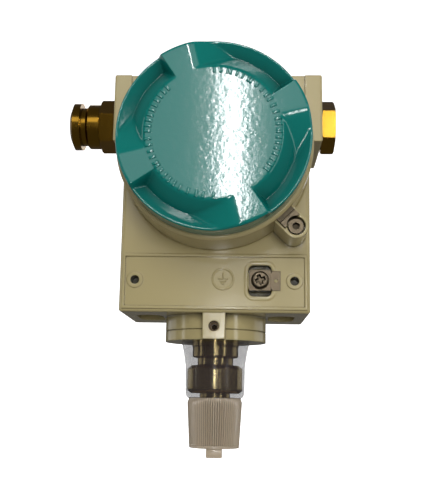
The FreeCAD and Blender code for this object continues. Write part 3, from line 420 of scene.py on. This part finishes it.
def cover_shell(sizes):
    """Screw cover with its grip pockets, facing -Y."""
    around = 480
    pocket_rings = 46
    rounding_steps = 6
    skirt_rings = 10
    margin = 2 * MM
    flat_end = COVER_RIM - sizes.pocket_reach - margin
    rounding_start = COVER_RIM - sizes.edge
    skirt_start = sizes.bar_height + sizes.edge
    profile = [(flat_end * share, sizes.bar_height) for share in (0, 0.3, 0.6, 0.85, 0.95)]
    profile += [(radius, sizes.bar_height) for radius in rise(flat_end, rounding_start, pocket_rings)]
    for turn in rise(0, math.pi / 2, rounding_steps)[1:]:
        profile.append((rounding_start + sizes.edge * math.sin(turn),
                        sizes.bar_height + sizes.edge * (1 - math.cos(turn))))
    profile += [(COVER_RIM, level) for level in rise(skirt_start, COVER_HEIGHT, skirt_rings)[1:]]
    bm = spun(bmesh.new(), profile, COVER_CENTRE, Y_AXIS, around)
    for vert in bm.verts:
        across = vert.co - COVER_CENTRE
        radius = math.hypot(across.x, across.z)
        if radius < flat_end * 0.9:
            continue
        depth = pocket_depth(radius, math.atan2(across.z, across.x), sizes)
        share = max(0, (across.y - skirt_start) / (COVER_HEIGHT - skirt_start))
        vert.co.y += depth * (1 - share)
    inside = [(COVER_RIM, COVER_HEIGHT), (sizes.bore, COVER_HEIGHT), (sizes.bore, sizes.ceiling),
              (0, sizes.ceiling)]
    return spun(bm, inside, COVER_CENTRE, Y_AXIS, around)


def cover_bars(sizes):
    """Plain raised bars in groups round the flat face of a cover, facing -Y."""
    ring = 28.7 * MM
    size = (3.2 * MM, sizes.bar_height, 1.3 * MM)
    rounding = 0.12 * MM
    spacing = 4.4
    # First and last direction of each group in degrees
    groups = ((2, 7), (12, 31), (36, 55), (58, 75), (78, 90), (136, 180), (187, 210), (213, 235),
              (241, 256), (262, 271), (324, 360))
    bm = bmesh.new()
    for first, last in groups:
        count = max(2, round((last - first) / spacing))
        for direction in rise(first, last, count - 1):
            angle = math.radians(direction)
            place = Vector((ring * math.cos(angle), sizes.bar_height / 2, ring * math.sin(angle)))
            bar(bm, COVER_CENTRE + place, size, rounding, Matrix.Rotation(-angle, 4, "Y"))
    return bm


def rounded_loop(bm, centre, half_x, half_z, corner, proud):
    """Closed loop of edges along a rounded rectangle that faces -Y."""
    corner_steps = 8
    verts = []
    for quarter, (side_x, side_z) in enumerate(((1, 1), (-1, 1), (-1, -1), (1, -1))):
        for turn in rise(90 * quarter, 90 * (quarter + 1), corner_steps):
            x = side_x * (half_x - corner) + corner * math.cos(math.radians(turn))
            z = side_z * (half_z - corner) + corner * math.sin(math.radians(turn))
            verts.append(bm.verts.new(centre + Vector((x, -proud, z))))
    return [bm.edges.new(pair) for pair in zip(verts, verts[1:] + verts[:1])]


def recess_lip(centre):
    """Rounded lip of paint and metal round the earth recess."""
    half_x = 5.5 * MM
    half_z = 7.4 * MM
    corner = 2.5 * MM
    # Distance out from the recess and height above the panel, in millimetres
    section = ((0, -0.4), (0, 0), (0.1, 0.14), (0.5, 0.25), (1.0, 0.31), (1.4, 0.29), (1.9, 0.14),
               (2.2, -0.1))
    bm = bmesh.new()
    loops = [rounded_loop(bm, centre, half_x + out * MM, half_z + out * MM, corner + out * MM, up * MM)
             for out, up in section]
    for inner, outer in zip(loops, loops[1:]):
        bmesh.ops.bridge_loops(bm, edges=inner + outer)
    return bm


def cross_screw(centre):
    """Earth screw with a pressed washer and a cross recess, facing -Y."""
    around = 144
    height = EARTH_SEAT_Y - EARTH_LOW.y
    head = (EARTH_HIGH.x - EARTH_LOW.x) / 2
    washer = 0.9 * MM
    shank_radius = 1.95 * MM
    shank_length = EARTH_HIGH.y - EARTH_SEAT_Y
    recess_turn = math.radians(20)
    recess_depth = 1.6 * MM
    arm_half_width = 0.7 * MM
    arm_reach = 2.2 * MM
    softness = 0.25 * MM
    profile = [(0, height)] + [(head * share, height) for share in rise(0.04, 0.72, 17)]
    profile += [(head * 0.84, height * 0.97), (head * 0.92, height * 0.88), (head * 0.95, height * 0.7),
                (head * 0.95, washer), (head, washer - 0.05 * MM), (head, 0.1 * MM), (head * 0.97, 0),
                (0, 0)]
    bm = spun(bmesh.new(), profile, centre, -Y_AXIS, around)
    for vert in bm.verts:
        across = vert.co - centre
        if across.y > -0.9 * height:
            continue
        turned = Matrix.Rotation(recess_turn, 3, "Y") @ across
        arm = min(abs(turned.x), abs(turned.z)) - arm_half_width
        reach = max(abs(turned.x), abs(turned.z)) - arm_reach
        vert.co.y += recess_depth * min(max(0.5 - max(arm, reach) / softness, 0), 1)
    shank = [(0, 0), (shank_radius, 0), (shank_radius, shank_length), (0, shank_length)]
    return spun(bm, shank, centre, Y_AXIS, 32)


def earth_sign(sizes):
    """Raised earth mark in its ring on the front panel."""
    centre = Vector((4.0 * MM, PANEL_Y, 73.2 * MM))
    ring = sizes.earth_mark_radius
    band = 0.6 * MM
    raised = 0.45 * MM
    sunk = 0.1 * MM
    line = 0.5 * MM
    rounding = 0.1 * MM
    stem_length = 2.8 * MM
    stem_centre = 1.5 * MM
    section = [(ring + band * math.cos(turn), raised * math.sin(turn)) for turn in rise(math.pi, 0, 10)]
    section = [(ring - band, -sunk)] + section + [(ring + band, -sunk)]
    bm = spun(bmesh.new(), section, centre, -Y_AXIS, 96)
    face = centre - Y_AXIS * raised / 2
    # Drop and width of the three bars under the stem, in millimetres
    for drop, width in ((0.0, 4.6), (1.2, 3.0), (2.4, 1.5)):
        bar(bm, face - Z_AXIS * drop * MM, (width * MM, raised, line), rounding)
    bar(bm, face + Z_AXIS * stem_centre, (line, raised, stem_length), rounding)
    return bm


def hexagon_radius(angle, sizes):
    """Outline of the turned hexagon, with a corner towards -Y."""
    step = math.pi / 3
    offset = (angle + step / 2) % step - step / 2
    return min(sizes.bar_diameter / 2, sizes.hexagon_flats / 2 / math.cos(offset))


def connection_bar(sizes):
    """Steel connection with its pipe thread, relief, chamfered hexagon, neck and collar."""
    around = 240
    thread_rings = 110
    hexagon_rings = 40
    bore = 1.75 * MM
    spigot = 3.0 * MM
    spigot_edge = 0.3 * MM
    crest = 10.4775 * MM
    thread_chamfer = 1.2 * MM
    thread_end = 18 * MM
    relief = 7.5 * MM
    relief_edge = 0.05 * MM
    hexagon_low = 20.4 * MM
    hexagon_high = 33.9 * MM
    hexagon_bevel = 2.5 * MM
    bevel_slope = math.tan(math.radians(38))
    foot = 11.7 * MM
    touch = 0.01 * MM
    bar_radius = sizes.bar_diameter / 2
    # Neck and collar above the hexagon, as radius and level in millimetres
    neck = ((9.3, 33.9), (8.85, 34.4), (8.85, 37.4), (9.2, 37.9), (10.8, 37.9), (11.3, 38.4), (11.3, 42.9),
            (11.1, 43.1), (11.5, 43.2), (11.7, 43.4))
    profile = [(bore, STEEL_HIGH.z), (bore, STEEL_LOW.z), (spigot - spigot_edge, STEEL_LOW.z),
               (spigot, STEEL_LOW.z + spigot_edge), (spigot, -thread_chamfer)]
    profile += [(crest, level) for level in rise(-thread_chamfer, thread_end, thread_rings)]
    profile += [(relief, thread_end + relief_edge), (relief, hexagon_low)]
    profile += [(bar_radius, level) for level in rise(hexagon_low, hexagon_high, hexagon_rings)]
    profile += [(radius * MM, level * MM) for radius, level in neck]
    profile += [(foot, STEEL_HIGH.z)]
    bm = spun(bmesh.new(), profile, ORIGIN, Z_AXIS, around)
    for vert in bm.verts:
        radius = math.hypot(vert.co.x, vert.co.y)
        angle = math.atan2(vert.co.y, vert.co.x)
        if abs(radius - crest) < touch and vert.co.z < thread_end + relief_edge / 2:
            phase = (vert.co.z / sizes.thread_pitch - angle / (2 * math.pi)) % 1
            groove = 1 - abs(phase - 0.5) * 2
            wanted = crest - sizes.thread_depth * min(max(1.25 * groove - 0.12, 0), 1)
            wanted = min(wanted, crest + min(0, vert.co.z))
        elif abs(radius - bar_radius) < touch:
            nearest = min(vert.co.z - hexagon_low, hexagon_high - vert.co.z)
            cone = bar_radius - hexagon_bevel * (1 - min(nearest / (hexagon_bevel * bevel_slope), 1))
            wanted = min(hexagon_radius(angle, sizes), cone)
        else:
            continue
        vert.co.x *= wanted / radius
        vert.co.y *= wanted / radius
    return bm


def ribbed_cap(sizes):
    """Cap over the thread with fine ribs above a smooth band, and its pull tab."""
    steps_per_rib = 8
    rib_rings = 14
    tab = (7.9 * MM, 1.6 * MM, 5.4 * MM)
    tab_rounding = 0.5 * MM
    low = CAP_LOW.z + 5 * MM
    high = CAP_HIGH.z
    mouth = CAP_HIGH.x
    end = mouth - 1.4 * MM
    wall = 1.0 * MM
    inner_floor = low + 1.4 * MM
    edge = 0.2 * MM
    rib = sizes.cap_rib_height
    band = low + 1.3 * MM
    rib_start = band + 0.05 * MM
    plain_rim = 0.8 * MM
    run_out = 0.4 * MM
    touch = 0.05 * MM

    def root(level):
        """Radius between the ribs at a level of the tapered wall."""
        return end - rib + (mouth - end) * (level - low) / (high - low)

    profile = [(0, low), (end - edge, low), (end, low + edge), (end, band - edge / 2),
               (end - edge / 2, band), (end - rib, band)]
    profile += [(root(level), level) for level in rise(rib_start, high - plain_rim, rib_rings)]
    profile += [(mouth - rib, high - edge), (mouth - rib - edge, high), (mouth - rib - wall, high),
                (end - rib - wall, inner_floor), (0, inner_floor)]
    bm = spun(bmesh.new(), profile, ORIGIN, Z_AXIS, sizes.cap_ribs * steps_per_rib)
    valley = bm.verts.layers.float.new("valley")
    for vert in bm.verts:
        radius = math.hypot(vert.co.x, vert.co.y)
        ribbed = (band + rib_start) / 2 < vert.co.z < high - plain_rim - run_out
        if not ribbed or abs(radius - root(vert.co.z)) > touch:
            continue
        wave = min(0.8 + 0.8 * math.cos(sizes.cap_ribs * math.atan2(vert.co.y, vert.co.x)), 1)
        # The valley layer marks the ribs' valleys, where the cap's finish paints shade.
        vert[valley] = 1 - wave
        vert.co.x *= (radius + rib * wave) / radius
        vert.co.y *= (radius + rib * wave) / radius
    bar(bm, Vector((0, 0, CAP_LOW.z + tab[2] / 2)), tab, tab_rounding)
    return bm


def flared_skirt():
    """Thin skirt of the cap, from its rim round the hexagon up to the neck."""
    film = 0.25 * MM
    # Outer radius and level in millimetres
    outline = ((13.3, 18.1), (14.2, 18.9), (14.65, 20.4), (14.8, 27.2), (14.9, 33.9), (15.4, 37.2),
               (15.9, 40.4), (16.55, 43.2), (16.85, 44.9))
    outer = [(radius * MM, level * MM) for radius, level in outline]
    inner = [(radius - film, level) for radius, level in reversed(outer)]
    return spun(bmesh.new(), outer + inner + outer[:1], ORIGIN, Z_AXIS, 192)


def stage_piece(name, bm, material):
    """Links a bmesh as an object of the stage that gloss doesn't mirror."""
    mesh = bpy.data.meshes.new(name)
    bm.to_mesh(mesh)
    bm.free()
    mesh.shade_smooth()
    mesh.materials.append(material)
    obj = bpy.data.objects.new(name, mesh)
    bpy.context.scene.collection.objects.link(obj)
    obj.visible_glossy = False
    return obj


def studio_surface(name, grey):
    """Matt studio material that can glow white, with its shader, tree and coordinates as from blank."""
    material, tree, shader, place = blank(name)
    shader.inputs["Base Color"].default_value = (grey, grey, grey, 1)
    shader.inputs["Roughness"].default_value = 0.9
    shader.inputs["Emission Color"].default_value = (1, 1, 1, 1)
    return material, tree, shader, place


def studio_sweep(stage):
    """Sweep of white paper behind the object."""
    half_width = 1.2
    path = ((0.75, stage.floor), (1.7, stage.floor), (1.7, 1.6))
    bend = 0.6
    bm = bmesh.new()
    verts = [bm.verts.new((-half_width, y, z)) for y, z in path]
    edges = [bm.edges.new(pair) for pair in zip(verts, verts[1:])]
    swept = bmesh.ops.extrude_edge_only(bm, edges=edges)["geom"]
    far_side = [part for part in swept if isinstance(part, bmesh.types.BMVert)]
    bmesh.ops.translate(bm, verts=far_side, vec=(2 * half_width, 0, 0))
    crease = [edge for edge in bm.edges if len(edge.link_faces) == 2]
    bmesh.ops.bevel(bm, geom=crease, offset=bend, offset_type="OFFSET", affect="EDGES", segments=24,
                    profile=0.5, material=-1)
    # Matt white studio paper, lit from behind towards its rear so that it reads as plain white
    material, tree, shader, place = studio_surface("studio_paper", 0.9)
    depth = add(tree, "ShaderNodeSeparateXYZ", {"Vector": place}).outputs["Y"]
    glow = add(tree, "ShaderNodeMapRange", {"Value": depth, "From Min": 0.3, "From Max": 0.9,
                                            "To Max": 0.88})
    tree.links.new(glow.outputs["Result"], shader.inputs["Emission Strength"])
    return stage_piece("studio_sweep", bm, material)


def studio_floor(stage):
    """Wide round floor just under the sweep."""
    radius = 6
    under_sweep = 2 * MM
    bm = bmesh.new()
    bmesh.ops.create_circle(bm, cap_ends=True, segments=96, radius=radius,
                            matrix=Matrix.Translation((0, 0, stage.floor - under_sweep)))
    # Pale matt floor that runs on all round, evenly lit
    material, _, shader, _ = studio_surface("studio_floor", 0.3)
    shader.inputs["Emission Strength"].default_value = stage.backdrop
    floor = stage_piece("studio_floor", bm, material)
    floor.visible_diffuse = False
    return floor


def studio_lights(stage):
    """Soft panels and strips that light the object, none of them seen by the camera."""
    # Name, place, size in metres, power and the point that the light faces
    lights = (
        ("key_strip", (-0.009, -1.071, 0.500), (0.03, 0.42), stage.key, (0, -0.07, 0.13)),
        ("low_strip", (-0.009, -1.071, 0.030), (0.03, 0.26), stage.key * 0.5, (0, 0, 0.03)),
        ("front_soft", (-0.05, -1.25, 0.625), (1.0, 0.53), stage.front, (0, -0.07, 0.13)),
        ("left_soft", (-0.98, -0.25, 0.25), (0.12, 0.8), stage.fill * 0.7, (0, 0, 0.1)),
        ("right_soft", (0.74, -0.67, 0.25), (0.1, 0.8), stage.fill * 1.2, (0, 0, 0.1)),
        ("top_soft", (0.0, -0.4, 1.0), (0.7, 0.5), stage.top, (0, 0, 0.1)),
        ("plug_card", (0.2, -1.07, 0.17), (0.06, 0.12), stage.key * 0.24, (0.05, 0, 0.15)),
        ("camera_soft", (0.2, -1.25, 0.02), (0.5, 0.4), stage.near, (0, -0.05, 0.1)),
        ("floor_soft", (0.0, 0.0, stage.floor + 5 * MM), (0.7, 0.7), stage.fill * 0.2, (0, 0, 0.1)),
        ("rear_soft", (0.25, 1.4, 0.9), (1.6, 1.1), stage.rear, (0, 0.05, 0.12)),
        ("left_wide", (-1.1, 0.6, 0.4), (0.9, 1.0), stage.side, (0, 0, 0.1)),
        ("right_wide", (1.1, 0.6, 0.4), (0.9, 1.0), stage.side, (0, 0, 0.1)),
    )
    without_reflection = ("top_soft", "camera_soft", "floor_soft")
    for name, place, size, power, target in lights:
        data = bpy.data.lights.new(name, "AREA")
        data.shape = "RECTANGLE"
        data.size, data.size_y = size
        data.energy = power
        lamp = bpy.data.objects.new(name, data)
        lamp.location = place
        lamp.rotation_euler = (Vector(target) - Vector(place)).to_track_quat("-Z", "Y").to_euler()
        lamp.visible_glossy = name not in without_reflection
        lamp.visible_camera = False
        bpy.context.scene.collection.objects.link(lamp)


def studio_air(stage):
    """World that is white to the camera and gives the object a weak even light."""
    world = bpy.data.worlds.new("studio_air")
    world.use_nodes = True
    tree = world.node_tree
    background = tree.nodes["Background"]
    background.inputs["Color"].default_value = (1, 0.99, 0.97, 1)
    seen = add(tree, "ShaderNodeLightPath").outputs["Is Camera Ray"]
    strength = add(tree, "ShaderNodeMapRange", {"Value": seen, "To Min": stage.world,
                                                "To Max": stage.backdrop})
    tree.links.new(strength.outputs["Result"], background.inputs["Strength"])
    bpy.context.scene.world = world


def photo_camera(stage):
    """Camera at the photograph's viewing angle, a little below the object and looking up."""
    place = (0.0141, -0.4058, 0.0188)
    pan = 0.042
    tilt = math.radians(10.99)
    roll = -0.017
    data = bpy.data.cameras.new("photo_camera")
    data.lens = stage.focal
    data.sensor_width = 36
    data.clip_start = 0.01
    data.clip_end = 20
    camera = bpy.data.objects.new("photo_camera", data)
    look = Matrix.Rotation(pan, 4, "Z") @ Matrix.Rotation(tilt, 4, "X")
    look = look @ Matrix.Rotation(roll, 4, "Y") @ Matrix.Rotation(math.pi / 2, 4, "X")
    camera.matrix_world = Matrix.Translation(place) @ look
    bpy.context.scene.collection.objects.link(camera)
    bpy.context.scene.camera = camera


class TRANSMITTER_OT_finishes(bpy.types.Operator):
    """Gives every CAD piece the finish of its record slot, and the locking screw a black oxide finish
    instead
    """
    bl_idname = "transmitter.finishes"
    bl_label = "Finishes"

    def execute(self, context):
        for part in frame["record"]["subparts"]:
            mesh = frame["nodes"][part["node"]].data
            blackened = part["node"] == "locking_screw"
            material = finish("black_oxide" if blackened else part["material_slot"])
            if mesh.materials:
                for index in range(len(mesh.materials)):
                    mesh.materials[index] = material
            else:
                mesh.materials.append(material)
        return {"FINISHED"}


class TRANSMITTER_OT_covers(bpy.types.Operator):
    """Models both screw covers with their grip pockets and raised bars"""
    bl_idname = "transmitter.covers"
    bl_label = "Screw Covers"

    def execute(self, context):
        sizes = context.scene.transmitter_sizes
        for name, shape in (("shell", cover_shell(sizes)), ("bars", cover_bars(sizes))):
            for side, turn in (("terminal", 0), ("electronics", math.pi)):
                bm = shape.copy()
                bm.transform(Matrix.Rotation(turn, 4, "Z"))
                replaced = (side + "_cover",) if name == "shell" else ()
                piece(side + "_cover_" + name, bm, "cover_paint", side + "_cover", replaced)
            shape.free()
        return {"FINISHED"}


class TRANSMITTER_OT_connection(bpy.types.Operator):
    """Models the steel connection with its pipe thread, relief, hexagon and collar"""
    bl_idname = "transmitter.connection"
    bl_label = "Steel Connection"

    def execute(self, context):
        bm = connection_bar(context.scene.transmitter_sizes)
        piece("steel_connection", bm, "stainless", "cell", ("process_connection",), 28)
        return {"FINISHED"}


class TRANSMITTER_OT_cap(bpy.types.Operator):
    """Models the ribbed polyethylene cap over the thread, with its pull tab and its clear skirt"""
    bl_idname = "transmitter.cap"
    bl_label = "Thread Cap"

    def execute(self, context):
        bm = ribbed_cap(context.scene.transmitter_sizes)
        piece("thread_cap", bm, "cap_plastic", "cap", ("protective_cap",), 40)
        piece("cap_skirt", flared_skirt(), "cap_plastic", "cap", look="cap_skirt")
        return {"FINISHED"}


class TRANSMITTER_OT_earth(bpy.types.Operator):
    """Models the outer earth screw with its cross recess, the raised earth mark and the recess's lip"""
    bl_idname = "transmitter.earth"
    bl_label = "Earth Terminal"

    def execute(self, context):
        x = (EARTH_LOW.x + EARTH_HIGH.x) / 2
        z = (EARTH_LOW.z + EARTH_HIGH.z) / 2
        screw = cross_screw(Vector((x, EARTH_SEAT_Y, z)))
        piece("earth_cross_screw", screw, "plated_steel", "housing", ("earth_screw",), 35)
        piece("earth_mark", earth_sign(context.scene.transmitter_sizes), "housing_paint", "housing")
        piece("earth_lip", recess_lip(Vector((x, PANEL_Y, z))), "housing_paint", "housing")
        return {"FINISHED"}


class TRANSMITTER_OT_stage(bpy.types.Operator):
    """Sets the pale studio floor, the soft lights and the camera"""
    bl_idname = "transmitter.stage"
    bl_label = "Studio Stage"

    def execute(self, context):
        stage = context.scene.transmitter_stage
        sweep = studio_sweep(stage)
        floor = studio_floor(stage)
        studio_lights(stage)
        studio_air(stage)
        photo_camera(stage)
        context.scene.view_settings.view_transform = "Standard"
        return {"FINISHED"}


class TRANSMITTER_PT_panel(bpy.types.Panel):
    """Lists the steps and the sizes and colours that they use"""
    bl_idname = "TRANSMITTER_PT_panel"
    bl_label = "Pressure Transmitter"
    bl_space_type = "VIEW_3D"
    bl_region_type = "UI"
    bl_category = "Transmitter"

    def draw(self, context):
        for step in STEPS:
            self.layout.operator(step.bl_idname)
        for name in ("transmitter_colours", "transmitter_sizes", "transmitter_stage"):
            group = getattr(context.scene, name)
            for key in group.__annotations__:
                self.layout.prop(group, key)


STEPS = (TRANSMITTER_OT_finishes, TRANSMITTER_OT_covers, TRANSMITTER_OT_connection, TRANSMITTER_OT_cap,
         TRANSMITTER_OT_earth, TRANSMITTER_OT_stage)
GROUPS = (TransmitterColours, TransmitterSizes, TransmitterStage)
CLASSES = GROUPS + STEPS + (TRANSMITTER_PT_panel,)


def register():
    for kind in CLASSES:
        bpy.utils.register_class(kind)
    bpy.types.Scene.transmitter_colours = PointerProperty(type=TransmitterColours)
    bpy.types.Scene.transmitter_sizes = PointerProperty(type=TransmitterSizes)
    bpy.types.Scene.transmitter_stage = PointerProperty(type=TransmitterStage)


def unregister():
    del bpy.types.Scene.transmitter_stage
    del bpy.types.Scene.transmitter_sizes
    del bpy.types.Scene.transmitter_colours
    for kind in reversed(CLASSES):
        bpy.utils.unregister_class(kind)


def main():
    register()
    bpy.ops.transmitter.finishes()
    bpy.ops.transmitter.covers()
    bpy.ops.transmitter.connection()
    bpy.ops.transmitter.cap()
    bpy.ops.transmitter.earth()
    bpy.ops.transmitter.stage()


if __name__ == "__main__":
    main()
